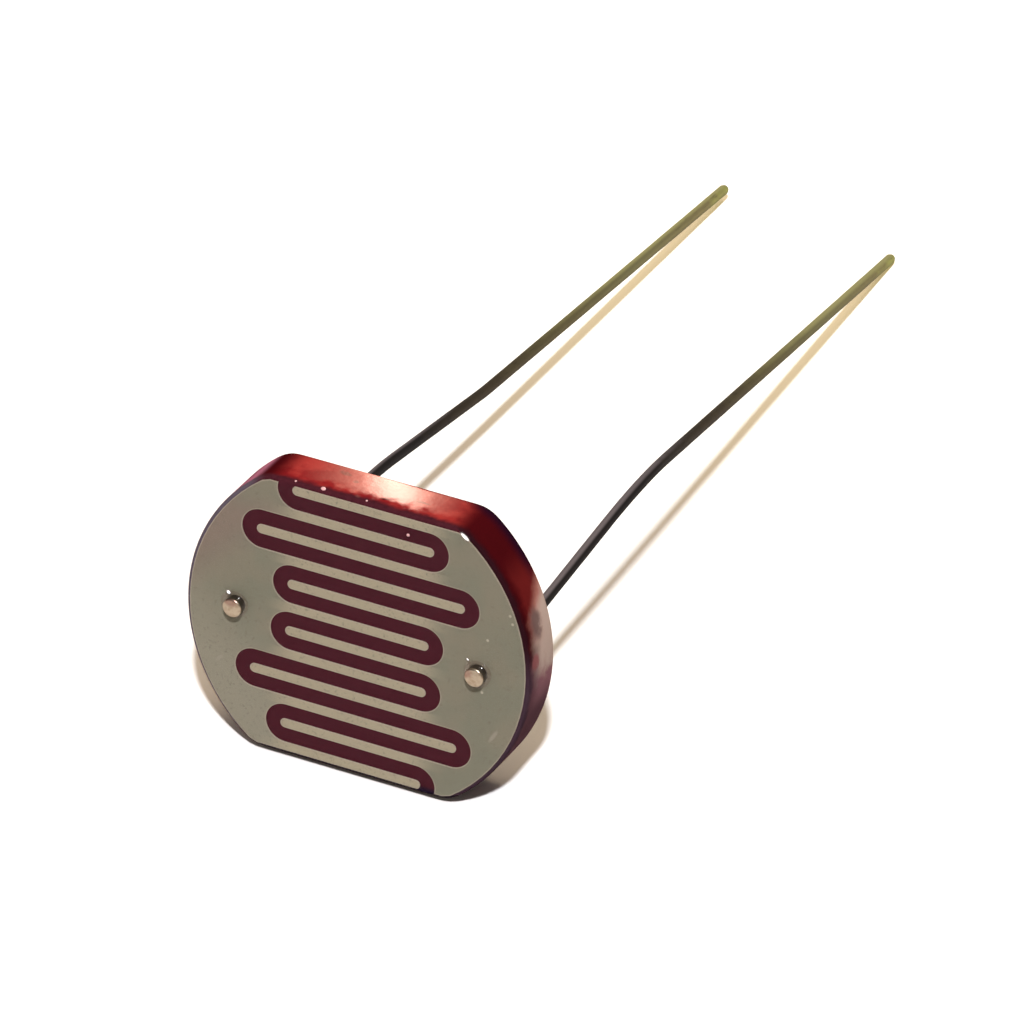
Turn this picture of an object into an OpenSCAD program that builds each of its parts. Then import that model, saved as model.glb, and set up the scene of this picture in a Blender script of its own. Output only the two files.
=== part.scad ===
// Photoresistor: a resin-coated ceramic disc with two flats, a pair of interlocking
// metal combs over a light-sensitive layer, and two stiff wire leads.
// It rests as it would on a table: on the rear edge of its lower flat and on its leads.

/* [Disc] */
// Diameter over the round sides of the coated disc
body_d = 12; // [11.4:0.1:14]
// Height over the two flats of the coated disc
flat_h = 9.8; // [9:0.1:10.6]
// Thickness of the ceramic disc
ceramic_t = 1.9; // [1.4:0.05:3.5]
// Rounding of the back edge of the ceramic disc
ceramic_edge_r = 0.15; // [0.08:0.01:0.3]
// Radius that the corners beside the flats are cut to
corner_r = 1; // [0.6:0.1:2]
// Lean of the disc from upright, in degrees
lean = 8; // [4:0.5:12]

/* [Resin coat] */
// Thickness of the clear resin round the rim
coat_side = 0.09; // [0.06:0.01:0.3]
// Thickness of the clear resin over the face
coat_face = 0.1; // [0.06:0.01:0.3]
// Rounding of the front edge of the resin
coat_front_r = 0.25; // [0.1:0.01:0.3]
// Rounding of the back edge of the resin
coat_back_r = 0.2; // [0.1:0.01:0.3]
// Distance from the back of the ceramic to the end of the resin
coat_setback = 0.06; // [0.02:0.01:0.1]
// Height that the resin climbs up each lead head
climb_h = 0.12; // [0.05:0.01:0.2]
// Width of the resin that climbs each lead head
climb_w = 0.18; // [0.05:0.01:0.3]

/* [Light-sensitive layer] */
// Thickness of the layer on the face and the rim
layer_t = 0.03; // [0.02:0.01:0.06]
// Bare ceramic on the rim between the layer's skirt and the back
skirt_gap = 0.3; // [0.2:0.05:1]

/* [Metal combs] */
// Thickness of the metal film
film_t = 0.03; // [0.02:0.01:0.05]
// Bare margin from the edge of the layer to the film
film_margin = 0.05; // [0.02:0.01:0.2]
// Fingers in the two combs together, an even number
fingers = 12; // [8:2:14]
// Width of a finger
finger_w = 0.32; // [0.2:0.02:0.4]
// Width that the film's edge trims off the outermost fingers
finger_trim = 0.02; // [0.01:0.01:0.06]
// Distance past the middle of the tip of a short finger
short_reach = 2.32; // [1.6:0.02:2.6]
// Distance past the middle of the tip of a long finger
long_reach = 3.48; // [2.8:0.02:3.7]

/* [Leads] */
// Diameter of the lead wire
lead_d = 0.36; // [0.3:0.02:0.5]
// Spacing of the leads in the disc
lead_spacing = 8.46; // [8:0.02:9.2]
// Clearance round the wire in its hole
hole_clear = 0.04; // [0.02:0.01:0.06]
// Diameter of the flattened head on the face
head_d = 0.62; // [0.6:0.02:0.9]
// Height of the head above the resin
head_h = 0.46; // [0.2:0.02:0.8]
// Rounding of the head's edge
head_edge_r = 0.14; // [0.05:0.01:0.2]
// Length of straight wire behind the disc before the first bend
stub_l = 1.2; // [0.9:0.1:2]
// Radius of the first bend, at the middle of the wire
bend_r = 3; // [2:0.5:4]
// Radius of the bends further back, at the middle of the wire
sweep_r = 10; // [4:1:14]
// First bend of the left lead: offset to the right of its hole, distance back, height
left_bend = [0.53, 7.15, 4.52]; // [-2:0.01:10]
// Second bend of the left lead, measured the same way
left_sag = [0.73, 14.55, 2.87]; // [-2:0.01:20]
// End of the left lead: offset to the right of its hole, distance back, height off the floor
left_end = [1.56, 31.95, 0.3]; // [-4:0.01:40]
// Bend of the right lead: offset to the right of its hole, distance back, height
right_bend = [0.75, 8.55, 5.87]; // [-2:0.01:12]
// End of the right lead, which touches the floor
right_end = [-0.2, 30.95, 0]; // [-4:0.01:40]

/* [Hidden] */
$fn = 96;

// Heights along the disc's axis, from the plane that the metal film lies on
back_z = -layer_t - ceramic_t;
coat_back_z = back_z + coat_setback;
coat_front_z = film_t + coat_face;
skirt_z = back_z + skirt_gap;
head_top_z = coat_front_z + head_h;

// Depths of each form inside the coated disc's outline
layer_inset = coat_side;
ceramic_inset = layer_inset + layer_t;
film_inset = layer_inset + film_margin;

// Corners: the cut beside a flat touches a circle that blends the flat into the round side
corner_v = flat_h / 2 - corner_r;
corner_u = sqrt(pow(body_d / 2 - corner_r, 2) - pow(corner_v, 2));
corner_angle = (90 - atan2(corner_v, corner_u)) / 2;
corner_half = corner_u * sin(corner_angle) + corner_v * cos(corner_angle) + corner_r;

// Combs: the fingers share the film's height, and the track fills what is between them
pitch = (flat_h - 2 * film_inset + 2 * finger_trim - finger_w) / (fingers - 1);
track_w = pitch - finger_w;
slot_r = finger_w / 2 + track_w;
half_band = pitch / 2;

// Lap of the straight wire into each bend, and how much fatter the wire is in a bend
bend_lap = 0.06;
bend_swell = 0.004;

// Place of the disc: its back edge touches the floor, and the whole lies centred on Y
rest_v = flat_h / 2 - coat_back_r;
rest_z = -coat_back_z - coat_back_r;
disc_z = rest_v * cos(lean) + rest_z * sin(lean) + coat_back_r;
hole_y = -back_z * cos(lean);
front_y = (flat_h / 2) * sin(lean) + coat_front_z * cos(lean);
disc_y = (front_y - hole_y - max(left_end.y, right_end.y)) / 2;

// Distance past the middle that a finger goes: the second of every three is a long one
function reach(row) = row % 3 == 1 ? long_reach : short_reach;

// A point of the disc's own frame in the part's frame
function placed(p) = [
    p.x,
    disc_y + p.y * sin(lean) - p.z * cos(lean),
    disc_z + p.y * cos(lean) + p.z * sin(lean)
];

// A point of a lead behind the disc, from its hole's place at the back
function behind(side, p) = [side * lead_spacing / 2 + p.x, disc_y + hole_y + p.y, p.z];

function unit(v) = v / norm(v);
function heading(path, i) = unit(path[i + 1] - path[i]);
function turn(path, i) = acos(min(1, heading(path, i - 1) * heading(path, i)));
function is_bend(path, i) = i > 0 && i < len(path) - 1;

// Radius of the bend at a corner of a path, and the length of straight it takes up
function radius_at(i) = i == 1 ? bend_r : sweep_r;
function bend_cut(path, i) = is_bend(path, i) ? radius_at(i) * tan(turn(path, i) / 2) : 0;
function bend_overlap(path, i) = is_bend(path, i) ? bend_lap : 0;

module in_disc() {
    translate([0, disc_y, disc_z])
        rotate([90 - lean, 0, 0])
            children();
}

// Row of a section between two rounded corners
module rounded_row(half, z, r) {
    translate([-half + r, z - r])
        square([2 * (half - r), 2 * r]);
    for (x = [-half + r, half - r])
        translate([x, z])
            circle(r = r);
}

// Section across the disc, with its front and back corners rounded
module bar_section(half, z0, z1, front_r, back_r) {
    translate([-half, z0 + back_r])
        square([2 * half, z1 - z0 - front_r - back_r]);
    if (front_r > 0)
        rounded_row(half, z1 - front_r, front_r);
    if (back_r > 0)
        rounded_row(half, z0 + back_r, back_r);
}

// Disc with a rounded rim
module round_disc(r, z0, z1, front_r, back_r) {
    rotate_extrude()
        intersection() {
            bar_section(r, z0, z1, front_r, back_r);
            translate([0, z0])
                square([r, z1 - z0]);
        }
}

// Bar across the disc whose two long sides have the rim's rounding
module flat_bar(half, z0, z1, front_r, back_r) {
    rotate([90, 0, 90])
        linear_extrude(height = 2 * body_d, center = true)
            bar_section(half, z0, z1, front_r, back_r);
}

// Round disc with two flats and cut corners, a given depth inside the coated outline
module flatted_disc(inset, z0, z1, front_r = 0, back_r = 0) {
    intersection() {
        round_disc(body_d / 2 - inset, z0, z1, front_r, back_r);
        flat_bar(flat_h / 2 - inset, z0, z1, front_r, back_r);
        rotate([0, 0, corner_angle])
            flat_bar(corner_half - inset, z0, z1, front_r, back_r);
        rotate([0, 0, -corner_angle])
            flat_bar(corner_half - inset, z0, z1, front_r, back_r);
    }
}

module at_leads() {
    for (side = [-1, 1])
        translate([side * lead_spacing / 2, 0, 0])
            children();
}

module lead_holes() {
    at_leads()
        translate([0, 0, back_z - 1])
            cylinder(d = lead_d + 2 * hole_clear, h = film_t - back_z + 2);
}

// Outline of the metal film before the track divides it
module film_outline() {
    intersection() {
        circle(r = body_d / 2 - film_inset);
        square([2 * body_d, flat_h - 2 * film_inset], center = true);
        rotate(corner_angle)
            square([2 * body_d, 2 * (corner_half - film_inset)], center = true);
        rotate(-corner_angle)
            square([2 * body_d, 2 * (corner_half - film_inset)], center = true);
    }
}

// One row per finger of the right-hand comb: a round tip and a band back to its pad
module finger_rows(tip_r, half_h) {
    for (row = [0 : fingers / 2 - 1])
        translate([-reach(row), pitch * ((fingers - 1) / 2 - 2 * row)]) {
            circle(r = tip_r);
            translate([0, -half_h])
                square([body_d, 2 * half_h]);
        }
}

// Right-hand comb: its pad and fingers, less a wide slot for each finger of the other comb
module comb() {
    linear_extrude(height = film_t)
        difference() {
            intersection() {
                film_outline();
                union() {
                    translate([0, -body_d])
                        square([body_d, 2 * body_d]);
                    finger_rows(finger_w / 2, half_band);
                }
            }
            rotate(180)
                finger_rows(slot_r, slot_r);
            translate([lead_spacing / 2, 0])
                circle(d = lead_d + 2 * hole_clear);
        }
}

// Straight of wire between two corners of a path, lapped into the bends at its ends
module wire_straight(path, i) {
    ahead = heading(path, i);
    start = bend_cut(path, i) - bend_overlap(path, i);
    stop = bend_cut(path, i + 1) - bend_overlap(path, i + 1);
    translate(path[i] + start * ahead)
        rotate([0, acos(ahead.z), atan2(ahead.y, ahead.x)])
            cylinder(d = lead_d, h = norm(path[i + 1] - path[i]) - start - stop, $fn = 48);
}

// Bend of wire that blends two straights at a corner of the path
module wire_bend(path, i) {
    before = heading(path, i - 1);
    after = heading(path, i);
    radius = radius_at(i);
    centre = path[i] + unit(after - before) * radius / cos(turn(path, i) / 2);
    across = unit(path[i] - before * bend_cut(path, i) - centre);
    axis = unit(cross(before, after));
    multmatrix([
        [across.x, before.x, axis.x, centre.x],
        [across.y, before.y, axis.y, centre.y],
        [across.z, before.z, axis.z, centre.z]
    ])
        rotate_extrude(angle = turn(path, i), $fn = 192)
            translate([radius, 0])
                circle(d = lead_d + 2 * bend_swell, $fn = 48);
}

// Bent wire with a flattened head on the face of the disc
module lead(side, bends, end) {
    head = placed([side * lead_spacing / 2, 0, film_t + head_h / 2]);
    stub = placed([side * lead_spacing / 2, 0, back_z - stub_l]);
    tip = behind(side, [end.x, end.y, end.z + lead_d / 2]);
    path = concat([head, stub], [for (b = bends) behind(side, b)], [tip]);
    for (i = [0 : len(path) - 2])
        wire_straight(path, i);
    for (i = [1 : len(path) - 2])
        wire_bend(path, i);
    in_disc()
        translate([side * lead_spacing / 2, 0, 0])
            round_disc(head_d / 2, film_t, head_top_z, head_edge_r, 0);
}

module ceramic_substrate() {
    color("#E6D9CB")
        in_disc()
            difference() {
                flatted_disc(ceramic_inset, back_z, -layer_t, 0, ceramic_edge_r);
                lead_holes();
            }
}

module photoconductive_layer() {
    color("#6B1420")
        in_disc()
            difference() {
                flatted_disc(layer_inset, skirt_z, 0);
                flatted_disc(ceramic_inset, back_z, -layer_t, 0, ceramic_edge_r);
                lead_holes();
            }
}

module left_electrode() {
    color("#8C867A")
        in_disc()
            rotate([0, 0, 180])
                comb();
}

module right_electrode() {
    color("#86827A")
        in_disc()
            comb();
}

module left_lead() {
    color("#7D7356")
        lead(-1, [left_bend, left_sag], left_end);
}

module right_lead() {
    color("#7D7356")
        lead(1, [right_bend], right_end);
}

module resin_coat() {
    color("#B04048", 0.4)
        in_disc()
            difference() {
                union() {
                    flatted_disc(0, coat_back_z, coat_front_z, coat_front_r, coat_back_r);
                    at_leads()
                        translate([0, 0, film_t])
                            cylinder(r1 = head_d / 2 + climb_w * (1 + coat_face / climb_h),
                                     r2 = head_d / 2, h = coat_face + climb_h);
                }
                flatted_disc(layer_inset, skirt_z, 0);
                flatted_disc(ceramic_inset, back_z, -layer_t, 0, ceramic_edge_r);
                comb();
                rotate([0, 0, 180])
                    comb();
                at_leads()
                    translate([0, 0, -layer_t])
                        cylinder(d = head_d, h = 2 * head_top_z, $fn = 48);
            }
}

ceramic_substrate();
photoconductive_layer();
left_electrode();
right_electrode();
left_lead();
right_lead();
resin_coat();
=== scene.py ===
import math

import bpy
import numpy as np
from mathutils import Matrix, Vector


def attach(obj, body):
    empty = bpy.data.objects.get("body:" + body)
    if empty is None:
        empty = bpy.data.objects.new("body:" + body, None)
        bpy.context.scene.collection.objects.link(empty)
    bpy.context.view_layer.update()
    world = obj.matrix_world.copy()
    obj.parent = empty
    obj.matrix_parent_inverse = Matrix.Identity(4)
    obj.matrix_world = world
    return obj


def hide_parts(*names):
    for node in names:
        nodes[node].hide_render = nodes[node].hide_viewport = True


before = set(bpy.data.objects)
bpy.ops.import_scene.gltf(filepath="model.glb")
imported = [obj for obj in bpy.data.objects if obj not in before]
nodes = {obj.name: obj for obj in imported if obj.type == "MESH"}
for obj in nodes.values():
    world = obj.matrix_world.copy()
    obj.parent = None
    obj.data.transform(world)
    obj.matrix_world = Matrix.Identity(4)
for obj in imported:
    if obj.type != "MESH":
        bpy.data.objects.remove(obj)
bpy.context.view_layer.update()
mm = 0.001
sides = (("left", -1), ("right", 1))

# the disc's own frame: u to the right, v up the face, n out of the face, all in millimetres
disc = {
    "radius": 6.0,
    "flatHalf": 4.9,
    "cornerHalf": 5.71699,  # axis to the cut beside each flat
    "cornerAngle": 19.3697,
    "lean": 8.0,
    "centreY": -16.5253,
    "centreZ": 5.0867,
    "hole": 4.23,  # axis to the middle of each lead
    "blend": 160,  # higher makes the corners of the outline crisper
}
leanSin, leanCos = math.sin(math.radians(disc["lean"])), math.cos(math.radians(disc["lean"]))


# a point of the disc's frame in the part's frame, in metres: the disc stands leaning back on its lower flat
def placed(u, v, n):
    u, v, n = np.broadcast_arrays(u, v, n)
    y = disc["centreY"] + v * leanSin - n * leanCos
    z = disc["centreZ"] + v * leanCos + n * leanSin
    return np.stack([u, y, z], axis=-1) * mm


# distance from the axis to the outline: the least of the round side, the flats and the cut corners,
# each taken to a high power and summed so that they blend
def outline(theta, inset):
    power = disc["blend"]
    total = (1 / (disc["radius"] - inset)) ** power
    for half, turn in (("flatHalf", 0), ("cornerHalf", 1), ("cornerHalf", -1)):
        across = np.abs(np.sin(theta - math.radians(turn * disc["cornerAngle"])))
        total = total + (across / (disc[half] - inset)) ** power
    return total ** (-1 / power)


# a mesh from a grid of points: columns close round, and rows end in poles or close round as well
def gridMesh(name, points, ringed=False):
    rows, cols = points.shape[:2]
    if ringed:
        verts = points.reshape(-1, 3)
        here = np.arange(rows * cols).reshape(rows, cols)
        below = np.roll(here, -1, axis=0)
        caps = []
    else:
        inner = points[1:-1]
        verts = np.vstack([points[0].mean(0), inner.reshape(-1, 3), points[-1].mean(0)])
        index = 1 + np.arange((rows - 2) * cols).reshape(rows - 2, cols)
        here, below = index[:-1], index[1:]
        first, last = np.zeros(cols, int), np.full(cols, len(verts) - 1)
        caps = [np.stack([first, np.roll(index[0], -1), index[0]], -1),
                np.stack([last, index[-1], np.roll(index[-1], -1)], -1)]
    quads = np.stack([here, np.roll(here, -1, axis=1), np.roll(below, -1, axis=1), below], -1)
    quads = quads.reshape(-1, 4)
    tris = np.vstack([quads[:, :3], quads[:, [0, 2, 3]], *caps])
    corners = verts[tris]
    volume = np.einsum("ij,ij->i", corners[:, 0], np.cross(corners[:, 1], corners[:, 2])).sum()
    faces = quads.tolist() + [f for c in caps for f in c.tolist()]
    if volume < 0:
        faces = [f[::-1] for f in faces]
    mesh = bpy.data.meshes.new(name)
    mesh.from_pydata(verts.tolist(), [], faces)
    mesh.polygons.foreach_set("use_smooth", np.ones(len(mesh.polygons), bool))
    mesh.update()
    return mesh


# one value for each vertex of a grid mesh with poles, in the order gridMesh keeps
def gridValues(values):
    return np.concatenate([values[:1, :1].ravel(), values[1:-1].ravel(), values[-1:, :1].ravel()])


def addPiece(name, mesh, materials, stoodFor=()):
    piece = bpy.data.objects.new(name, mesh)
    bpy.context.scene.collection.objects.link(piece)
    for material in materials:
        mesh.materials.append(material)
    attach(piece, "root")
    if stoodFor:
        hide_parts(*stoodFor)


# shader helpers
def newTree(name):
    material = bpy.data.materials.new(name)
    material.use_nodes = True
    material.node_tree.nodes.clear()
    return material, material.node_tree


def add(tree, kind, sockets=None, **settings):
    made = tree.nodes.new(kind)
    for key, value in settings.items():
        setattr(made, key, value)
    for key, value in (sockets or {}).items():
        if isinstance(value, bpy.types.NodeSocket):
            tree.links.new(value, made.inputs[key])
        else:
            made.inputs[key].default_value = value
    return made


def calc(tree, operation, a, b=0.0):
    return add(tree, "ShaderNodeMath", {0: a, 1: b}, operation=operation).outputs[0]


def times(tree, a, b):
    return calc(tree, "MULTIPLY", a, b)


def vectorCalc(tree, operation, a, b=(0, 0, 0)):
    made = add(tree, "ShaderNodeVectorMath", {0: a, 1: b}, operation=operation)
    return made.outputs["Value" if operation in ("LENGTH", "DOT_PRODUCT") else "Vector"]


def between(tree, value, low, high):  # 0 at low and before it, 1 at high and past it, eased
    sockets = {"Value": value, "From Min": low, "From Max": high}
    return add(tree, "ShaderNodeMapRange", sockets, interpolation_type="SMOOTHSTEP").outputs[0]


def blendColour(tree, factor, a, b):
    made = add(tree, "ShaderNodeMix", {0: factor}, data_type="RGBA")
    for socket, value in ((made.inputs[6], a), (made.inputs[7], b)):
        if isinstance(value, bpy.types.NodeSocket):
            tree.links.new(value, socket)
        else:
            socket.default_value = (*value, 1)
    return made.outputs[2]


def noise(tree, place, scale, detail=3.0, rough=0.5):
    sockets = {"Vector": place, "Scale": scale, "Detail": detail, "Roughness": rough}
    return add(tree, "ShaderNodeTexNoise", sockets).outputs["Fac"]


# place in the disc's frame, in millimetres, from Object coordinates
def discPlace(tree):
    coords = add(tree, "ShaderNodeTexCoord").outputs["Object"]
    sockets = {
        "Vector": coords,
        "Location": (0, disc["centreY"] * mm, disc["centreZ"] * mm),
        "Rotation": (math.radians(90 - disc["lean"]), 0, 0),
        "Scale": (mm, mm, mm),
    }
    return add(tree, "ShaderNodeMapping", sockets, vector_type="TEXTURE").outputs[0]


def axesOf(tree, place):
    return add(tree, "ShaderNodeSeparateXYZ", {0: place}).outputs


spotEdge = (1.2, 0.5)  # shares of a spot's size where it ends and where it is full


# 1 inside a soft ellipsoid about a place of the disc's frame, 0 outside
def spot(tree, place, at, size, turn=0.0):
    sockets = {"Vector": place, "Location": at, "Rotation": (0, 0, math.radians(turn)), "Scale": size}
    local = add(tree, "ShaderNodeMapping", sockets, vector_type="TEXTURE").outputs[0]
    return between(tree, vectorCalc(tree, "LENGTH", local), *spotEdge)


def bump(tree, height, distance, strength):
    sockets = {"Height": height, "Distance": distance * mm, "Strength": strength}
    return add(tree, "ShaderNodeBump", sockets).outputs[0]


def surface(tree, shader):
    add(tree, "ShaderNodeOutputMaterial", {"Surface": shader})


def opaque(tree, sockets):
    surface(tree, add(tree, "ShaderNodeBsdfPrincipled", sockets).outputs[0])


# grey comb metal: matte film with a fine grain, warmer and paler along the narrow fingers
filmLook = {
    "pad": (0.190, 0.182, 0.136),
    "padCool": (0.172, 0.176, 0.132),
    "padLight": (0.228, 0.222, 0.172),
    "padRosy": (0.192, 0.158, 0.128),
    "finger": (0.310, 0.284, 0.204),
    # a painted highlight along the film's edges
    "edge": (0.345, 0.305, 0.250),
    "edgeWidth": 0.07,
    "edgeSamples": 6,
    "fleck": (0.142, 0.134, 0.103),
    "metallic": 0.15,
    "roughness": 0.62,
    "specular": 0.2,
    "broad": (0.6, 3),  # a noise is given by its scale, its detail and often its roughness
    "grain": (9.0, 4, 0.65),
    "relief": (0.012, 0.5),  # depth in millimetres and strength
    "pitch": 0.84,
    "speck": (0.350, 0.340, 0.270),
    "specks": [(5.20, 2.35), (5.30, 2.08), (4.51, 3.81), (4.49, 1.27), (4.41, -0.63), (3.92, 4.47)],
    "speckSize": 0.055,
    "smear": (0.245, 0.236, 0.190),
    "smears": [((-4.73, -2.11, 0.0), 0.20, 48), ((4.89, -2.08, 0.0), 0.30, 60)],  # middle, half length, turn
    "smearWidth": 0.07,
    "coolSpan": (0.38, 0.62),  # a span says where a colour starts and where it is full
    "lightSpan": (2.5, 6.5),
    "lightAcross": -0.8,  # how much the place across counts for it, beside the height
    "rosySpan": (5.5, 7.5),
    "rosyTop": (4.4, 3.2),
    "stripeSpan": (0.1, -0.5),
    "fingerSpan": (3.3, 1.9),
    "fleckSpan": (0.52, 0.80),
    "edgeSpan": (0.995, 0.90),
}


def filmMetal(side, sideSign):
    material, tree = newTree(side + "FilmMetal")
    place = discPlace(tree)
    u, v, _ = axesOf(tree, place)
    broad = noise(tree, place, *filmLook["broad"])
    grain = noise(tree, place, *filmLook["grain"])
    cool = between(tree, broad, *filmLook["coolSpan"])
    tone = blendColour(tree, cool, filmLook["pad"], filmLook["padCool"])
    # paler toward the lower left, rosier at the upper left
    downLeft = calc(tree, "SUBTRACT", times(tree, u, filmLook["lightAcross"]), v)
    upLeft = calc(tree, "SUBTRACT", v, u)
    tone = blendColour(tree, between(tree, downLeft, *filmLook["lightSpan"]), tone, filmLook["padLight"])
    rosy = times(tree, between(tree, upLeft, *filmLook["rosySpan"]), between(tree, v, *filmLook["rosyTop"]))
    tone = blendColour(tree, rosy, tone, filmLook["padRosy"])
    # stripes one pitch apart pick out the fingers, and fade toward the comb's own pad
    stripe = calc(tree, "COSINE", times(tree, v, 2 * math.pi / filmLook["pitch"]))
    fromPad = between(tree, times(tree, u, sideSign), *filmLook["fingerSpan"])
    inFingers = times(tree, between(tree, stripe, *filmLook["stripeSpan"]), fromPad)
    tone = blendColour(tree, inFingers, tone, filmLook["finger"])
    tone = blendColour(tree, between(tree, grain, *filmLook["fleckSpan"]), tone, filmLook["fleck"])
    speckSize = (filmLook["speckSize"], filmLook["speckSize"], 1)
    for at in filmLook["specks"]:
        tone = blendColour(tree, spot(tree, place, (*at, 0.0), speckSize), tone, filmLook["speck"])
    for at, long, turn in filmLook["smears"]:
        smear = spot(tree, place, at, (long, filmLook["smearWidth"], 1), turn)
        tone = blendColour(tree, smear, tone, filmLook["smear"])
    # a painted highlight along the film's edges, found where a rounded edge would turn away from the flat
    width = {"Radius": filmLook["edgeWidth"] * mm}
    rounded = add(tree, "ShaderNodeBevel", width, samples=filmLook["edgeSamples"]).outputs[0]
    flat = add(tree, "ShaderNodeNewGeometry").outputs["True Normal"]
    turned = vectorCalc(tree, "DOT_PRODUCT", rounded, flat)
    edgeHighlight = between(tree, turned, *filmLook["edgeSpan"])
    opaque(tree, {
        "Base Color": blendColour(tree, edgeHighlight, tone, filmLook["edge"]),
        "Metallic": filmLook["metallic"],
        "Roughness": filmLook["roughness"],
        "Specular IOR Level": filmLook["specular"],
        "Normal": bump(tree, grain, *filmLook["relief"]),
    })
    return material


# light-sensitive layer: dark maroon on the face, red over the rim, worn through to pale ceramic at the sides;
# the round sides are painted darker as shade, with a painted glow of light
layerLook = {
    "track": (0.054, 0.0118, 0.0185),
    "trackDark": (0.043, 0.0095, 0.0150),
    "flat": (0.215, 0.0130, 0.0150),
    "flatBright": (0.330, 0.033, 0.029),
    # the round sides' red, darkened as painted shade, and its lighter painted glow of light
    "side": (0.050, 0.0030, 0.0048),
    "sideLitGlow": (0.112, 0.0105, 0.0105),
    "edgeDark": (0.020, 0.0050, 0.0080),
    # a painted reflection on the upper left of the rim
    "pink": (0.400, 0.145, 0.225),
    "slate": (0.090, 0.076, 0.100),
    "plum": (0.045, 0.026, 0.038),
    # painted shade along the bottom edge, turned down toward the floor
    "bottomShade": (0.012, 0.006, 0.016),
    "rearLine": (0.014, 0.003, 0.011),
    "blush": (0.370, 0.165, 0.135),
    "bare": (0.430, 0.340, 0.292),
    "mauve": (0.230, 0.110, 0.130),
    "dusk": (0.105, 0.052, 0.066),
    "roughness": 0.55,
    "broad": (0.9, 3, 0.6),
    "grain": (6.0, 4, 0.6),
    "relief": (0.010, 0.4),
    "ragged": (1.9, 4, 0.65),
    "raggedDepth": 0.45,  # how far the edges of the colours wander along n
    "raggedClimb": 1.6,
    "raggedMarks": 0.5,
    "cornerLine": 0.42,  # how much broader the dark rear line is at the corner
    "riseFrom": 2.05,  # where the worn line starts to move back, and how steeply
    "rise": 1.35,
    "sideSink": 0.10,
    "markShare": 0.85,
    "marks": [  # darker stains: middle, half sizes, colour
        ((5.72, 1.85, -0.85), (0.70, 0.55, 0.38), (0.120, 0.082, 0.078)),
        ((5.96, 0.66, -0.50), (0.40, 0.32, 0.28), (0.240, 0.080, 0.085)),
        ((-0.78, 4.90, -1.02), (0.10, 0.50, 0.12), (0.080, 0.012, 0.012)),
        ((-1.32, 4.90, -1.37), (0.20, 0.50, 0.14), (0.080, 0.012, 0.012)),
        ((1.53, 4.90, -0.88), (0.36, 0.50, 0.10), (0.070, 0.012, 0.010)),
        ((0.43, 4.90, -0.55), (0.14, 0.50, 0.12), (0.070, 0.008, 0.010)),
    ],
    "spans": {  # where each colour starts and where it is full
        "offFace": (-0.02, -0.09),
        "roundSide": (2.6, 3.5),
        "trackDark": (0.35, 0.7),
        "margin": (5.78, 5.84),
        "slate": (-3.4, -4.2),
        "right": (2.6, 3.6),
        "low": (1.6, -0.4),
        "flatBright": (0.42, 0.62),
        "glowTop": (4.0, 3.0),
        "glowFoot": (1.4, 2.6),
        "glowDepth": (-0.25, -0.65),
        "duskTop": (1.3, 0.1),
        "duskFoot": (-3.6, -2.8),
        "pinkSide": (-3.55, -4.05),
        "pinkFoot": (1.6, 2.8),
        "corner": (2.4, 3.6),
        "rearLine": (-1.58, -2.14),
        "rearFoot": (2.5, 3.7),
        "wornFoot": (-4.4, -3.6),
        "wornSide": (3.6, 4.4),
        "wornLine": (-0.12, -1.02),
        "wornBare": (-0.35, 0.60),
        "wornDusk": (-0.3, -1.4),
        "blushDepth": (-1.40, -0.60),
        "blushFoot": (0.9, 2.0),
        "rimDepth": (-0.10, -0.45),
        "bottomShade": (-4.55, -4.75),
    },
}


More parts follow.
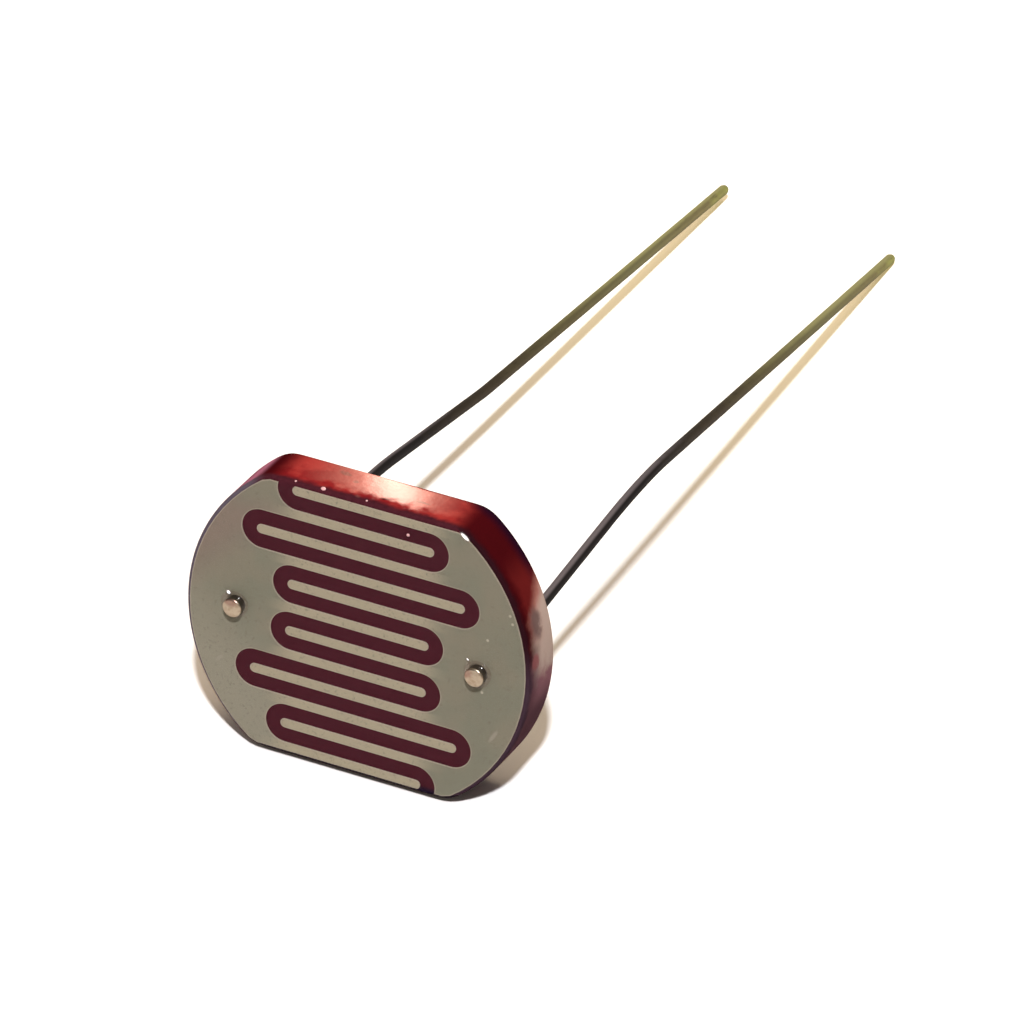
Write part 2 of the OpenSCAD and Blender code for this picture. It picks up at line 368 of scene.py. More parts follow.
def layerPaint():
    material, tree = newTree("layerPaint")
    place = discPlace(tree)

    def span(value, name):
        return between(tree, value, *layerLook["spans"][name])

    def paint(under, tone, mask, *others):  # a colour laid on where all its masks are 1
        for other in others:
            mask = times(tree, mask, other)
        return blendColour(tree, mask, under, layerLook[tone])

    u, v, n = axesOf(tree, place)
    aside = calc(tree, "ABSOLUTE", u)
    climb = times(tree, v, calc(tree, "SIGN", u))  # counts upward at the right, downward at the left
    fromAxis = vectorCalc(tree, "LENGTH", vectorCalc(tree, "MULTIPLY", place, (1, 1, 0)))
    broad = noise(tree, place, *layerLook["broad"])
    grain = noise(tree, place, *layerLook["grain"])
    ragged = calc(tree, "SUBTRACT", noise(tree, place, *layerLook["ragged"]), 0.5)
    depth = calc(tree, "ADD", n, times(tree, ragged, layerLook["raggedDepth"]))
    onSide = span(aside, "roundSide")
    offFace = span(n, "offFace")
    # the front margin beside the film is slate at the left, dark at the right and plum at the lower right
    front = paint(layerLook["track"], "trackDark", span(grain, "trackDark"))
    outer = span(fromAxis, "margin")
    front = paint(front, "slate", outer, span(u, "slate"))
    front = paint(front, "edgeDark", outer, span(u, "right"))
    front = paint(front, "plum", outer, span(v, "low"), span(u, "right"))
    flatRed = paint(layerLook["flat"], "flatBright", span(broad, "flatBright"))
    # the round sides: deep red as painted shade, with a painted glow of light a little above where they are
    # worn, and darker toward the bottom
    glow = times(tree, span(climb, "glowTop"), span(climb, "glowFoot"))
    shadedSideRed = paint(layerLook["side"], "sideLitGlow", glow, span(depth, "glowDepth"))
    shadedSideRed = paint(shadedSideRed, "dusk", span(climb, "duskTop"), span(climb, "duskFoot"))
    rim = blendColour(tree, onSide, flatRed, shadedSideRed)
    # a pink painted reflection over the upper left of the rim
    rim = paint(rim, "pink", span(u, "pinkSide"), span(v, "pinkFoot"))
    # a dark line along the back, broader round the upper right corner
    back = calc(tree, "SUBTRACT", n, times(tree, span(u, "corner"), layerLook["cornerLine"]))
    rim = paint(rim, "rearLine", span(back, "rearLine"), span(v, "rearFoot"))
    # bare ceramic shows at the two round sides toward the back,
    # behind a ragged line that moves back as it climbs
    above = calc(tree, "MAXIMUM", calc(tree, "SUBTRACT", climb, layerLook["riseFrom"]), 0.0)
    line = calc(tree, "ADD", depth, times(tree, above, layerLook["rise"]))
    uneven = calc(tree, "ADD", climb, times(tree, ragged, layerLook["raggedClimb"]))
    worn = paint(layerLook["mauve"], "bare", span(uneven, "wornBare"))
    worn = paint(worn, "dusk", span(climb, "wornDusk"))
    worn = paint(worn, "blush", span(line, "blushDepth"), span(climb, "blushFoot"))
    window = times(tree, span(climb, "wornFoot"), span(aside, "wornSide"))
    rim = blendColour(tree, times(tree, window, span(line, "wornLine")), rim, worn)
    spread = vectorCalc(tree, "ADD", times(tree, ragged, layerLook["raggedMarks"]), place)
    for at, size, tone in layerLook["marks"]:
        mark = times(tree, spot(tree, spread, at, size), layerLook["markShare"])
        rim = blendColour(tree, mark, rim, tone)
    sunk = calc(tree, "SUBTRACT", depth, times(tree, times(tree, onSide, offFace), layerLook["sideSink"]))
    whole = blendColour(tree, times(tree, offFace, span(sunk, "rimDepth")), front, rim)
    # painted shade darkens the bottom edge, where it turns down toward the floor
    opaque(tree, {
        "Base Color": paint(whole, "bottomShade", span(v, "bottomShade")),
        "Roughness": layerLook["roughness"],
        "Specular IOR Level": 0.0,
        "Normal": bump(tree, grain, *layerLook["relief"]),
    })
    return material


# off-white ceramic with a faint grain
ceramicLook = {
    "pale": (0.62, 0.53, 0.44),
    "dull": (0.50, 0.41, 0.33),
    "dullSpan": (0.35, 0.7),
    "speck": (0.32, 0.23, 0.18),
    "speckSpan": (0.66, 0.78),
    "roughness": 0.7,
    "specular": 0.3,
    "broad": (0.8, 3, 0.6),
    "grain": (7.0, 5, 0.65),
    "relief": (0.02, 0.6),
}


def ceramicPaint():
    material, tree = newTree("ceramicPaint")
    place = discPlace(tree)
    broad = noise(tree, place, *ceramicLook["broad"])
    grain = noise(tree, place, *ceramicLook["grain"])
    dull = between(tree, broad, *ceramicLook["dullSpan"])
    tone = blendColour(tree, dull, ceramicLook["pale"], ceramicLook["dull"])
    specks = between(tree, grain, *ceramicLook["speckSpan"])
    opaque(tree, {
        "Base Color": blendColour(tree, specks, tone, ceramicLook["speck"]),
        "Roughness": ceramicLook["roughness"],
        "Specular IOR Level": ceramicLook["specular"],
        "Normal": bump(tree, grain, *ceramicLook["relief"]),
    })
    return material


# clear resin: what lies under shows through, with a gloss that grows at a slant up to a limit
resinLook = {
    "tint": (0.97, 0.94, 0.93, 1),
    "ior": 1.45,
    "face": {"gloss": 0.004, "roughness": 0.25, "wave": 0.02},
    "rim": {"gloss": 0.0055, "roughness": 0.29, "wave": 0.012},
    "collar": {"gloss": 0.05, "roughness": 0.10, "wave": 0.006},
    "bead": {"gloss": 0.06, "roughness": 0.24, "wave": 0.002},
    "glow": {"share": 0.032, "roughness": 0.54, "colour": (1.0, 0.54, 0.45, 1)},
    "flatLine": (-0.30, -0.80),  # how far back the gloss of the flats starts and is full
    "flatReach": (3.5, 1.4),  # the same from the corners inward
    "ragged": 1.1,  # how far that line wanders
    "lumps": (2.2, 2, 0.5),
    "pits": (9.0, 3, 0.6),
    "pitShare": 0.3,
}


def resinPaint(part):
    look = resinLook[part]
    material, tree = newTree(part + "Resin")
    place = discPlace(tree)
    lumps = noise(tree, place, *resinLook["lumps"])
    pits = noise(tree, place, *resinLook["pits"])
    height = calc(tree, "ADD", lumps, times(tree, pits, resinLook["pitShare"]))
    uneven = bump(tree, height, look["wave"], 1.0)
    clear = add(tree, "ShaderNodeBsdfTransparent", {"Color": resinLook["tint"]}).outputs[0]
    gloss = add(tree, "ShaderNodeBsdfGlossy", {"Roughness": look["roughness"], "Normal": uneven}).outputs[0]
    slant = add(tree, "ShaderNodeFresnel", {"IOR": resinLook["ior"], "Normal": uneven}).outputs[0]
    slant = calc(tree, "MINIMUM", slant, look["gloss"])
    if part == "rim":  # the gloss lies on the flats, behind a ragged line, over a broad warm glow
        u, _, n = axesOf(tree, place)
        wander = times(tree, calc(tree, "SUBTRACT", lumps, 0.5), resinLook["ragged"])
        behind = between(tree, calc(tree, "ADD", n, wander), *resinLook["flatLine"])
        onFlat = times(tree, behind, between(tree, calc(tree, "ABSOLUTE", u), *resinLook["flatReach"]))
        slant = times(tree, slant, onFlat)
        glow = resinLook["glow"]
        sockets = {"Color": glow["colour"], "Roughness": glow["roughness"], "Normal": uneven}
        warm = add(tree, "ShaderNodeBsdfGlossy", sockets).outputs[0]
        share = times(tree, onFlat, glow["share"])
        clear = add(tree, "ShaderNodeMixShader", {0: share, 1: clear, 2: warm}).outputs[0]
    surface(tree, add(tree, "ShaderNodeMixShader", {0: slant, 1: clear, 2: gloss}).outputs[0])
    return material


# tinned wire: dark and dull by the disc, olive and brighter at the tip, as colours at shares of its length;
# the darkening toward the disc is painted shade over the olive tin
wireLook = {
    "tones": {
        0.34: (0.026, 0.022, 0.021),
        0.50: (0.080, 0.062, 0.040),
        0.66: (0.165, 0.140, 0.068),
        0.80: (0.238, 0.218, 0.104),
        0.95: (0.285, 0.240, 0.112),
        0.99: (0.420, 0.415, 0.130),
    },
    "blotch": 0.12,  # how far the tones wander along the wire
    "blotches": (1.1, 3, 0.6),
    "streak": (0.030, 0.025, 0.020),
    "streakSpan": (0.55, 0.85),
    "lines": (3.0, 4, 0.6),
    "drawn": (0.5, 9, 1),  # scale of the drawn lines along and round the wire
    "relief": (0.006, 0.5),
    # painted sheen and shine: the wire's upper left side lighter, as light would catch it
    "sheen": (0.215, 0.182, 0.188),
    "sheenTurn": (0.42, 0.98),  # round the wire toward its paler side
    "sheenAlong": (0.45, 0.33),
    "shine": (0.500, 0.468, 0.205),
    "shineTurn": (0.25, 0.95),
    "shineAlong": (0.55, 0.85),
    "edge": (0.25, 0.25, 0.25, 1),
    "metallic": 0.6,
    "roughness": 0.42,
}


def wireMetal():
    material, tree = newTree("wireMetal")
    along = add(tree, "ShaderNodeAttribute", attribute_name="along").outputs["Fac"]
    upLeft = add(tree, "ShaderNodeAttribute", attribute_name="upLeft").outputs["Fac"]
    coords = add(tree, "ShaderNodeUVMap", uv_map="wrap").outputs[0]
    drawn = add(tree, "ShaderNodeMapping", {"Vector": coords, "Scale": wireLook["drawn"]}).outputs[0]
    lines = noise(tree, drawn, *wireLook["lines"])
    blotch = calc(tree, "SUBTRACT", noise(tree, coords, *wireLook["blotches"]), 0.5)
    shifted = calc(tree, "ADD", along, times(tree, blotch, wireLook["blotch"]))
    ramp = add(tree, "ShaderNodeValToRGB", {"Fac": shifted})
    stops = ramp.color_ramp.elements
    shares = list(wireLook["tones"])
    stops[0].position, stops[1].position = shares[0], shares[-1]
    for share in shares[1:-1]:
        stops.new(share)
    for stop, tone in zip(stops, wireLook["tones"].values()):
        stop.color = (*tone, 1)
    streaks = between(tree, lines, *wireLook["streakSpan"])
    metal = blendColour(tree, streaks, ramp.outputs[0], wireLook["streak"])
    # painted sheen on the upper left side: grey along the dark stretch, yellow toward the tip
    for pale in ("sheen", "shine"):
        turned = between(tree, upLeft, *wireLook[pale + "Turn"])
        mask = times(tree, turned, between(tree, shifted, *wireLook[pale + "Along"]))
        metal = blendColour(tree, mask, metal, wireLook[pale])
    opaque(tree, {
        "Base Color": metal,
        "Metallic": wireLook["metallic"],
        "Specular Tint": wireLook["edge"],
        "Roughness": wireLook["roughness"],
        "Normal": bump(tree, lines, *wireLook["relief"]),
    })
    return material


# flattened lead end on the face: brighter bare metal with a peach cast, its wall darkened with painted shade
headLook = {
    "metal": (0.58, 0.47, 0.35),
    "shade": (0.47, 0.35, 0.25),
    "rosy": (0.38, 0.21, 0.17),
    "rosyAt": [(-4.28, 0.24, 0.38), (3.93, 0.11, 0.38)],
    "rosySize": (0.27, 0.19, 0.5),
    "rosyShare": 0.7,
    # painted shade on the head's wall
    "wall": (0.15, 0.13, 0.115),
    "wallSpan": (0.34, 0.29),  # heights on the head, going down
    "roughness": 0.30,
    "mottle": (5.0, 3, 0.6),
    "shadeSpan": (0.4, 0.65),
    "relief": (0.03, 0.5),
}


def headMetal():
    material, tree = newTree("headMetal")
    place = discPlace(tree)
    _, _, n = axesOf(tree, place)
    mottle = noise(tree, place, *headLook["mottle"])
    shaded = between(tree, mottle, *headLook["shadeSpan"])
    tone = blendColour(tree, shaded, headLook["metal"], headLook["shade"])
    for at in headLook["rosyAt"]:
        patch = times(tree, spot(tree, place, at, headLook["rosySize"]), headLook["rosyShare"])
        tone = blendColour(tree, patch, tone, headLook["rosy"])
    # the wall below the rounded edge is darkened with painted shade
    opaque(tree, {
        "Base Color": blendColour(tree, between(tree, n, *headLook["wallSpan"]), tone, headLook["wall"]),
        "Metallic": 1.0,
        "Roughness": headLook["roughness"],
        "Normal": bump(tree, mottle, *headLook["relief"]),
    })
    return material


# dust: pale pink, a little mottled
dustLook = {"pink": (0.52, 0.25, 0.28), "pale": (0.58, 0.36, 0.34), "mottle": (14.0, 2), "roughness": 0.5}


def dustPaint():
    material, tree = newTree("dustPaint")
    mottle = noise(tree, discPlace(tree), *dustLook["mottle"])
    opaque(tree, {
        "Base Color": blendColour(tree, mottle, dustLook["pink"], dustLook["pale"]),
        "Roughness": dustLook["roughness"],
    })
    return material


# slow waves of the skin: swells round the rim by height, waves round, lean along n and phase,
# and a ripple of the face as a share of them
waves = {
    "swells": ((1.0, 3, 0, 0.6), (0.7, 7, 2, 0), (0.5, 13, -3, 1)),
    "edgeDepth": 0.3,  # depth over which the swells set in
    "ripple": 0.25,
    "rippleAcross": (1.1, 0.4),  # pace in radians a millimetre, and phase
    "rippleUp": (0.9, -0.7),
    "rippleEnd": 0.5,  # height above the back where the ripple stops
}


# a closed form of the disc: rows run from the middle of the front over the rounded front edge, down the side,
# round the back edge and in to the middle of the back, and each row is the outline at its own inset
def discForm(name, form):
    theta = np.linspace(0, 2 * np.pi, form["columns"], endpoint=False)
    quarter = np.linspace(0, np.pi / 2, form["edgeRows"])
    share = np.linspace(0, 1, form["faceRows"])[:-1]
    backShare = np.linspace(1, 0, form["backRows"])[1:]
    front, back = form["frontRound"], form["backRound"]
    frontN, backN = form["frontN"], form["backN"]
    sideN = np.linspace(frontN - front, backN + back, form["sideRows"])[1:-1]
    inset = form["inset"] + np.concatenate([
        np.full(len(share), front), front * (1 - np.sin(quarter)), np.zeros(len(sideN)),
        back * (1 - np.cos(quarter)), np.full(len(backShare), back)])
    height = np.concatenate([
        np.full(len(share), frontN), frontN - front * (1 - np.cos(quarter)), sideN,
        backN + back * (1 - np.sin(quarter)), np.full(len(backShare), backN)])
    reach = np.concatenate([share, np.ones(2 * len(quarter) + len(sideN)), backShare])
    radius = np.stack([outline(theta, i) for i in inset]) * reach[:, None]
    turn, n = np.broadcast_arrays(theta[None, :], height[:, None])
    # the rim swells in and out and the face rises and falls a little
    onRim = (np.clip((frontN - n) / waves["edgeDepth"], 0, 1) * reach[:, None]) ** 2
    swell = sum(high * np.sin(many * turn + lean * n + phase) for high, many, lean, phase in waves["swells"])
    radius = radius + form["wave"] * onRim * swell
    u, v = radius * np.cos(turn), radius * np.sin(turn)
    across, acrossPhase = waves["rippleAcross"]
    up, upPhase = waves["rippleUp"]
    ripple = np.sin(across * u + acrossPhase) * np.cos(up * v + upPhase) * (n > backN + waves["rippleEnd"])
    n = n + form["wave"] * waves["ripple"] * (1 - onRim) * ripple
    faceRows = len(share) + form["edgeRows"] // 3  # the face goes a third of the way over the front edge
    return gridMesh(name, placed(u, v, n)), faceRows


layer = {"inset": 0.015, "frontN": 0.0, "backN": -1.83, "frontRound": 0.12, "backRound": 0.12, "wave": 0.0,
         "columns": 384, "edgeRows": 5, "faceRows": 12, "sideRows": 16, "backRows": 5}
layerMesh, _ = discForm("lightLayer", layer)
addPiece("lightLayer", layerMesh, [layerPaint()], ["photoconductive_layer"])
print("light-sensitive layer made")

coat = {"inset": 0.0, "frontN": 0.13, "backN": -1.87, "frontRound": 0.25, "backRound": 0.2, "wave": 0.008,
        "columns": 480, "edgeRows": 12, "faceRows": 40, "sideRows": 24, "backRows": 5}
coatMesh, faceRows = discForm("resinSkin", coat)
addPiece("resinSkin", coatMesh, [resinPaint("rim"), resinPaint("face")], ["resin_coat"])
onFace = np.arange(len(coatMesh.polygons)) // coat["columns"] < faceRows
onFace[-2 * coat["columns"]:-coat["columns"]] = True  # the cap round the front pole
coatMesh.polygons.foreach_set("material_index", onFace.astype(np.int32))
print("resin skin made")

for side, sideSign in sides:
    nodes[side + "_electrode"].data.materials.clear()
    nodes[side + "_electrode"].data.materials.append(filmMetal(side, sideSign))
nodes["ceramic_substrate"].data.materials.clear()
nodes["ceramic_substrate"].data.materials.append(ceramicPaint())
print("film and ceramic painted")

# leads: corners of each wire's middle line, as in the solids, with the radius of each bend
lead = {
    "wireRadius": 0.18,
    "headRadius": 0.325,
    "headTop": 0.40,  # height of the head's end above the film's plane
    "headFoot": 0.03,
    "headEdge": 0.08,
    "headRows": 8,  # rows of its rounded edge, and of its wall
    "dome": 0.03,
    "domeShares": (0, 0.35, 0.7),  # rows of the dome, as shares of its radius
    "wireStart": 0.02,  # heights where the straight through the disc starts and ends
    "wireBack": -3.13,
    "bendRadii": (3.0, 10.0, 10.0),
    "uneven": ((0.006, 1.9), (0.004, 5.3)),  # share of the radius, and how fast it changes along the wire
    "tipLength": 0.09,  # length of the rounded tip, and the share of the radius that it loses
    "tipLoss": 0.22,
    "step": 0.12,
    "columns": 40,
    # the side of each wire that carries the painted sheen
    "sheenSide": {"left": 140, "right": 156},  # way round the wire of its paler side
    "left": [(-3.7, -7.46405, 4.52), (-3.5, -0.06405, 2.87), (-2.67, 17.33595, 0.48)],
    "right": [(4.98, -6.06405, 5.87), (4.03, 16.33595, 0.18)],
}


# the middle line of a bent wire: straights joined by arcs, each arc turning from one heading to the next
def bentLine(corners, radii, step):
    runs, start = [], corners[0]
    for i in range(1, len(corners) - 1):
        before = corners[i] - corners[i - 1]
        after = corners[i + 1] - corners[i]
        before, after = before / np.linalg.norm(before), after / np.linalg.norm(after)
        turn = math.acos(min(1, before @ after))
        cut = radii[i - 1] * math.tan(turn / 2)
        arcStart = corners[i] - before * cut
        inward = after - before * (before @ after)
        inward = inward / np.linalg.norm(inward)
        count = max(2, int(np.linalg.norm(arcStart - start) / step))
        runs.append(start + np.linspace(0, 1, count, endpoint=False)[:, None] * (arcStart - start))
        count = max(4, int(radii[i - 1] * turn / step))
        angle = np.linspace(0, turn, count, endpoint=False)[:, None]
        runs.append(arcStart + radii[i - 1] * (np.sin(angle) * before + (1 - np.cos(angle)) * inward))
        start = corners[i] + after * cut
    count = max(2, int(np.linalg.norm(corners[-1] - start) / step))
    runs.append(start + np.linspace(0, 1, count)[:, None] * (corners[-1] - start))
    return np.vstack(runs)


# radius and height of the head's rows: a low dome, a rounded edge and a straight wall down to the film
def headRows():
    top, edge, dome = lead["headTop"], lead["headEdge"], lead["dome"]
    flat = lead["headRadius"] - edge
    quarter = np.linspace(0, np.pi / 2, lead["headRows"])
    domeR = flat * np.array(lead["domeShares"])
    wallN = np.linspace(top - edge, lead["headFoot"], lead["headRows"])[1:]
    rowR = [domeR, flat + edge * np.sin(quarter), np.full(len(wallN), lead["headRadius"])]
    rowN = [top - dome * (domeR / flat) ** 2, top - dome - (edge - dome) * (1 - np.cos(quarter)), wallN]
    return np.concatenate(rowR), np.concatenate(rowN)


# a lead is a radius carried along its middle line: a domed head, a step down to the wire,
# then the wire to its cut tip
def leadMesh(name, sideSign, corners, sheenSide):
    def axisPoint(n):
        return placed(sideSign * disc["hole"], 0.0, n) / mm

    headR, headN = headRows()
    straight = [axisPoint(lead["wireStart"]), axisPoint(lead["wireBack"])]
    line = bentLine(np.vstack([*straight, np.array(corners)]), lead["bendRadii"], lead["step"])
    middle = np.vstack([axisPoint(headN), line, line[-1:]])
    length = np.concatenate([[0], np.cumsum(np.linalg.norm(np.diff(middle, axis=0), axis=1))])
    onWire = length[len(headN):]
    wireR = lead["wireRadius"] * sum((part * np.sin(pace * onWire) for part, pace in lead["uneven"]), 1)
    toTip = length[-1] - onWire
    wireR = wireR * (1 - lead["tipLoss"] * np.clip(1 - toTip / lead["tipLength"], 0, 1) ** 2)
    radius = np.concatenate([headR, wireR])
    radius[-1] = 0
    heading = np.gradient(middle, axis=0)
    heading[:len(headN) + 2] = placed(0.0, 0.0, -1.0) - placed(0.0, 0.0, 0.0)
    heading[-3:] = heading[-4]
    heading = heading / np.linalg.norm(heading, axis=1)[:, None]
    across = np.cross(heading, [1.0, 0, 0])
    across = across / np.linalg.norm(across, axis=1)[:, None]
    third = np.cross(heading, across)
    phi = np.linspace(0, 2 * np.pi, lead["columns"], endpoint=False)
    ring = np.cos(phi)[None, :, None] * across[:, None] + np.sin(phi)[None, :, None] * third[:, None]
    mesh = gridMesh(name, (middle[:, None] + radius[:, None, None] * ring) * mm)
    # what the wire's metal reads: the share of the length, the side with painted sheen, and a wrap for the
    # drawn lines
    run, turn = np.broadcast_arrays(length[:, None], phi[None, :])
    shades = {"along": run / length[-1], "upLeft": np.cos(turn - math.radians(sheenSide))}
    for shade, values in shades.items():
        attribute = mesh.attributes.new(shade, "FLOAT", "POINT")
        attribute.data.foreach_set("value", gridValues(values).astype(np.float32))
    wrap = np.stack([gridValues(run), gridValues(np.sin(turn / 2))], -1)
    corner = np.zeros(len(mesh.loops), np.int32)
    mesh.loops.foreach_get("vertex_index", corner)
    mesh.uv_layers.new(name="wrap").data.foreach_set("uv", wrap[corner].astype(np.float32).ravel())
    tinnedFaces = np.arange(len(mesh.polygons)) // lead["columns"] >= len(headN) - 2
    tinnedFaces[-2 * lead["columns"]:-lead["columns"]] = False  # the cap of the head
    mesh.polygons.foreach_set("material_index", tinnedFaces.astype(np.int32))
    return mesh


tinned, headEnd = wireMetal(), headMetal()
for side, sideSign in sides:
    mesh = leadMesh(side + "Wire", sideSign, lead[side], lead["sheenSide"][side])
    addPiece(side + "Wire", mesh, [headEnd, tinned], [side + "_lead"])
print("leads made")

# resin collar round each head: a hollow curve that climbs the head, closed under the skin
collar = {
    "climb": 0.10,
    "spread": 0.15,
    "sink": 0.04,
    "overlap": 0.01,  # depth inside the head
    "lobes": (0.2, 0.1),  # unevenness of the spread, once and three times round
    "tilt": 0.25,  # unevenness of the climb
    "skew": 0.7,  # turns the broad side, in radians, and the other way on the other lead
    "columns": 72,
    "rows": 14,
}


# the collar's section is a quarter of a hollow curve, height = climb * (1 - x)^3, and its base,
# carried round the head
def collarMesh(name, sideSign):
    phi = np.linspace(0, 2 * np.pi, collar["columns"], endpoint=False)
    x = np.linspace(0, 1, collar["rows"])[:, None]
    lean = np.sin(phi + collar["skew"] * sideSign)
    spread = collar["spread"] * (1 + collar["lobes"][0] * lean + collar["lobes"][1] * np.sin(3 * phi))
    out = lead["headRadius"] - collar["overlap"] + x * spread
    top = coat["frontN"] + collar["climb"] * (1 - x) ** 3 * (1 + collar["tilt"] * lean)
    under = np.full((2, len(phi)), coat["frontN"] - collar["sink"])
    rim = np.vstack([out, out[-1:], out[:1]])
    height = np.vstack([top, under])
    u = sideSign * disc["hole"] + rim * np.cos(phi)
    return gridMesh(name, placed(u, rim * np.sin(phi), height), ringed=True)


# drops of resin that catch the key, and dust caught in the resin near the top edge:
# middle, half sizes (length, width, height), the way the top faces, the way the length lies
toKey = {"faces": (0.304, 0.628, 0.715), "lies": (0.8, -0.6, 0)}
toFront = {"faces": (0, 0, 1), "lies": (1, 0, 0)}
toEdge = {"faces": (0, 0.7, 0.7), "lies": (1, 0, 0)}
ballGrid = {"columns": 28, "rows": 14}
beads = {
    "leftBead": {"at": (-4.46, 0.42, 0.14), "size": (0.110, 0.085, 0.012), **toKey},
    "rightBead": {"at": (3.90, 0.47, 0.14), "size": (0.085, 0.050, 0.012), **toKey},
    "cornerBead": {"at": (3.51, 4.70, 0.06), "size": (0.220, 0.095, 0.014), **toKey},
}
flecks = {
    "lowFleck": {"at": (1.61, 4.24, 0.125), "size": (0.055, 0.050, 0.03), **toFront},
    "edgeFleck": {"at": (-1.47, 4.90, -0.09), "size": (0.085, 0.060, 0.03), **toEdge},
    "leftFleck": {"at": (-2.43, 4.90, -0.08), "size": (0.036, 0.032, 0.02), **toEdge},
    "midFleck": {"at": (0.03, 4.90, -0.10), "size": (0.035, 0.030, 0.02), **toEdge},
}


# a flattened ball: rows run from its top to its underside, columns round it, on three axes of its own
def ballMesh(name, ball):
    phi = np.linspace(0, 2 * np.pi, ballGrid["columns"], endpoint=False)
    tilt = np.linspace(0, np.pi, ballGrid["rows"])[:, None]
    top = np.array(ball["faces"]) / np.linalg.norm(ball["faces"])
    along = np.array(ball["lies"]) - top * (top @ np.array(ball["lies"]))
    along = along / np.linalg.norm(along)
    axes = np.stack([along, np.cross(top, along), top]) * np.array(ball["size"])[:, None]
    unit = np.broadcast_arrays(np.sin(tilt) * np.cos(phi), np.sin(tilt) * np.sin(phi), np.cos(tilt))
    u, v, n = np.moveaxis(np.array(ball["at"]) + np.stack(unit, -1) @ axes, -1, 0)
    return gridMesh(name, placed(u, v, n))


collarResin = resinPaint("collar")
for side, sideSign in sides:
    addPiece(side + "Collar", collarMesh(side + "Collar", sideSign), [collarResin])
beadResin = resinPaint("bead")
for name, ball in beads.items():
    addPiece(name, ballMesh(name, ball), [beadResin])
print("collars and beads made")

dust = dustPaint()
for name, ball in flecks.items():
    addPiece(name, ballMesh(name, ball), [dust])
print("dust made")

# floor and camera
floorLook = {
    "size": 4.0,
    "grain": (60.0, 2),
    "paper": (0.88, 0.88, 0.88),
    "shade": (0.87, 0.87, 0.87),
    "cast": (0.55, 0.55, 0.55),
    "roughness": 0.9,
    # painted light: a warm glow, seen only by the camera, that pales the leads' shadows toward their tips
    "paintedShadowWarmth": (0.32, 0.24, 0.09, 1),  # warmth that the camera sees in the shadows toward the lead tips
    "liftFrom": -5.0,  # where it starts and where it is full, back along the leads
    "liftTo": 14.0,
}


# white to the camera, greyer in what it casts back on the object, with a painted warm glow in the shadows
# toward the lead tips that only the camera sees
def floorPaper():
    material, tree = newTree("floorPaper")
    coords = add(tree, "ShaderNodeTexCoord").outputs["Object"]
    grain = noise(tree, coords, *floorLook["grain"])
    tone = blendColour(tree, grain, floorLook["paper"], floorLook["shade"])
    seen = add(tree, "ShaderNodeLightPath").outputs["Is Camera Ray"]
    paintedWarmthToTips = between(tree, axesOf(tree, coords)[1], floorLook["liftFrom"] * mm, floorLook["liftTo"] * mm)
    opaque(tree, {
        "Base Color": blendColour(tree, seen, floorLook["cast"], tone),
        "Roughness": floorLook["roughness"],
        "Specular IOR Level": 0.0,
        "Emission Color": floorLook["paintedShadowWarmth"],
        "Emission Strength": times(tree, seen, paintedWarmthToTips),
    })
    material.cycles.emission_sampling = "NONE"
    return material


half = floorLook["size"] / 2
floorCorners = [(-half, -half, 0), (half, -half, 0), (half, half, 0), (-half, half, 0)]
floorMesh = bpy.data.meshes.new("floor")
floorMesh.from_pydata(floorCorners, [], [(0, 1, 2, 3)])
floorMesh.materials.append(floorPaper())
floor = bpy.data.objects.new("floor", floorMesh)
bpy.context.scene.collection.objects.link(floor)

shot = {
    "place": (101.924, -217.167, 175.584),
    "right": (0.9022, 0.4314, -0.0031),
    "up": (-0.2535, 0.5359, 0.8054),
    "forward": (-0.3491, 0.7258, -0.5928),
    "lens": 316.4,
    "sensor": 36,
    "clip": (0.01, 20),  # in metres
}
cameraData = bpy.data.cameras.new("camera")
cameraData.lens, cameraData.sensor_width = shot["lens"], shot["sensor"]
cameraData.clip_start, cameraData.clip_end = shot["clip"]
camera = bpy.data.objects.new("camera", cameraData)
bpy.context.scene.collection.objects.link(camera)
turned = Matrix([shot["right"], shot["up"], [-x for x in shot["forward"]]]).transposed().to_4x4()
camera.matrix_world = Matrix.Translation(Vector(shot["place"]) * mm) @ turned
bpy.context.scene.camera = camera

# light: a white key from the front right, a warm soft lamp overhead that fills its shadows, a dim room,
# and a card behind the disc for the gloss on its top edge
light = {
    "key": {"from": (0.30, -0.60, 1.0), "strength": 4.2, "colour": (0.97, 0.98, 1.0), "spread": 3.2},
    "lamp": {"from": (-0.06, 0.13, 1.0), "strength": 1.15, "colour": (1.0, 0.77, 0.51), "spread": 40.0},
    "roomWay": (-0.5, -0.85, 0.15),  # the brighter side of the room, before and to the left
    "roomSpan": (-0.8, 0.8),
    "roomBright": (0.34, 0.29, 0.25),
    "roomDim": (0.06, 0.05, 0.05),
    "horizon": (0.5, 0.5, 0.5),  # what gloss mirrors low down and overhead
    "ceiling": (0.12, 0.12, 0.12),
    "ceilingSpan": (0.03, 0.22),
    "cardTo": (0.42, -14.6, 9.76),  # the place that the card lights, and the way and distance from it
    "cardWay": (-0.349, 0.861, 0.369),
    "cardAway": 7.0,
    "cardSize": (1.4, 1.4),
    "cardSpread": 70,
    "cardPower": 0.00030,
    "cardColour": (1, 0.88, 0.74),
}
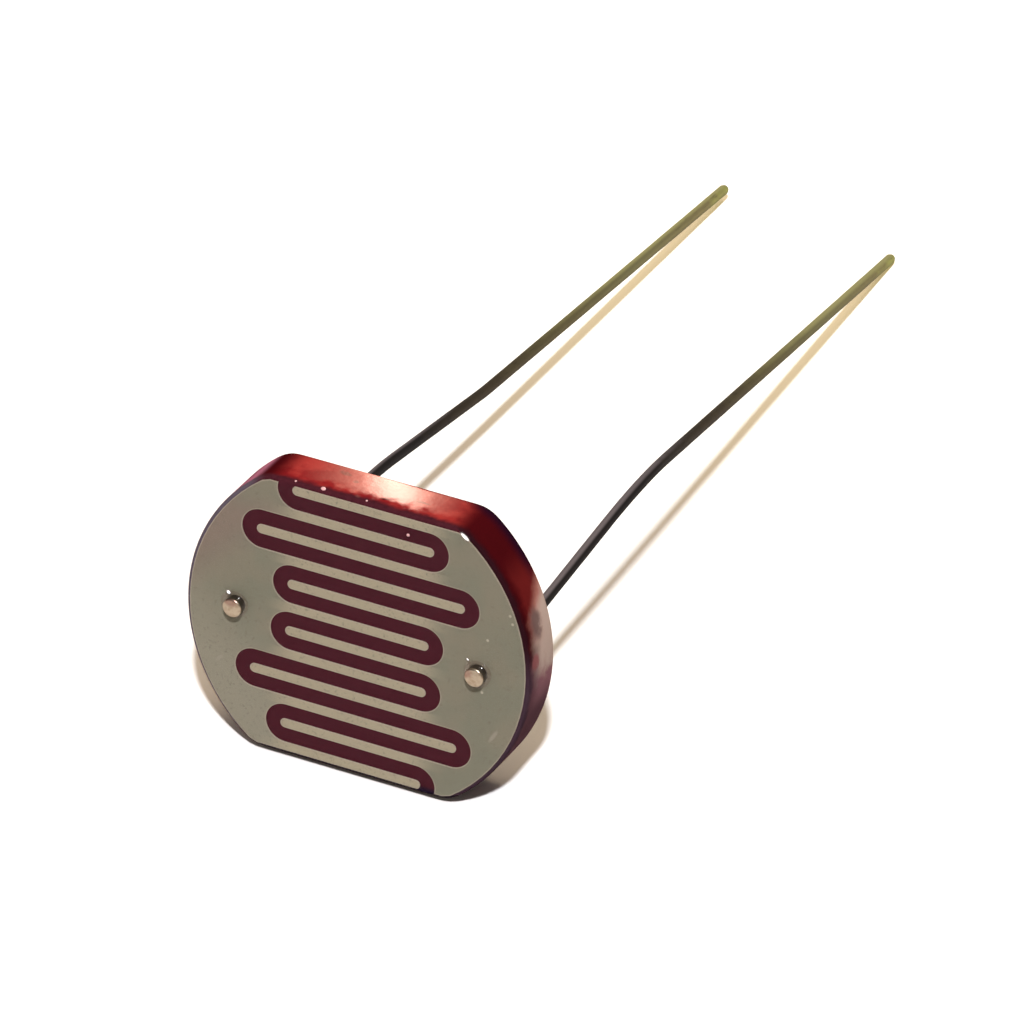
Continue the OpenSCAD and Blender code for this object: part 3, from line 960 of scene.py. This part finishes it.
for name in ("key", "lamp"):
    sun = light[name]
    sunData = bpy.data.lights.new(name, "SUN")
    sunData.energy, sunData.color, sunData.angle = sun["strength"], sun["colour"], math.radians(sun["spread"])
    sunLamp = bpy.data.objects.new(name, sunData)
    sunLamp.rotation_mode = "QUATERNION"
    sunLamp.rotation_quaternion = Vector(sun["from"]).to_track_quat("Z", "Y")
    sunLamp.visible_glossy = name == "key"  # only the key makes glints
    bpy.context.scene.collection.objects.link(sunLamp)

cardData = bpy.data.lights.new("card", "AREA")
cardData.shape, cardData.energy, cardData.color = "RECTANGLE", light["cardPower"], light["cardColour"]
cardData.size, cardData.size_y = [s * mm for s in light["cardSize"]]
cardData.spread = math.radians(light["cardSpread"])
card = bpy.data.objects.new("card", cardData)
card.location = (Vector(light["cardTo"]) + Vector(light["cardWay"]) * light["cardAway"]) * mm
card.rotation_mode = "QUATERNION"
card.rotation_quaternion = Vector(light["cardWay"]).to_track_quat("Z", "Y")
card.visible_diffuse = False
bpy.context.scene.collection.objects.link(card)

# the room: white to the camera, a horizon under a dim ceiling to gloss, and a soft uneven fill to all else
world = bpy.data.worlds.new("room")
bpy.context.scene.world = world
world.use_nodes = True
tree = world.node_tree
tree.nodes.clear()
path = add(tree, "ShaderNodeLightPath").outputs
way = add(tree, "ShaderNodeTexCoord").outputs["Generated"]
toward = between(tree, vectorCalc(tree, "DOT_PRODUCT", way, light["roomWay"]), *light["roomSpan"])
room = blendColour(tree, toward, light["roomDim"], light["roomBright"])
upward = between(tree, axesOf(tree, way)[2], *light["ceilingSpan"])
mirrored = blendColour(tree, upward, light["horizon"], light["ceiling"])
colour = blendColour(tree, path["Is Glossy Ray"], room, mirrored)
seen = calc(tree, "MAXIMUM", path["Is Camera Ray"], path["Is Transmission Ray"])
colour = blendColour(tree, seen, colour, (1, 1, 1))
backdrop = add(tree, "ShaderNodeBackground", {"Color": colour, "Strength": 1.0}).outputs[0]
add(tree, "ShaderNodeOutputWorld", {"Surface": backdrop})
bpy.context.scene.view_settings.view_transform = "Standard"
print("floor, camera and light set")
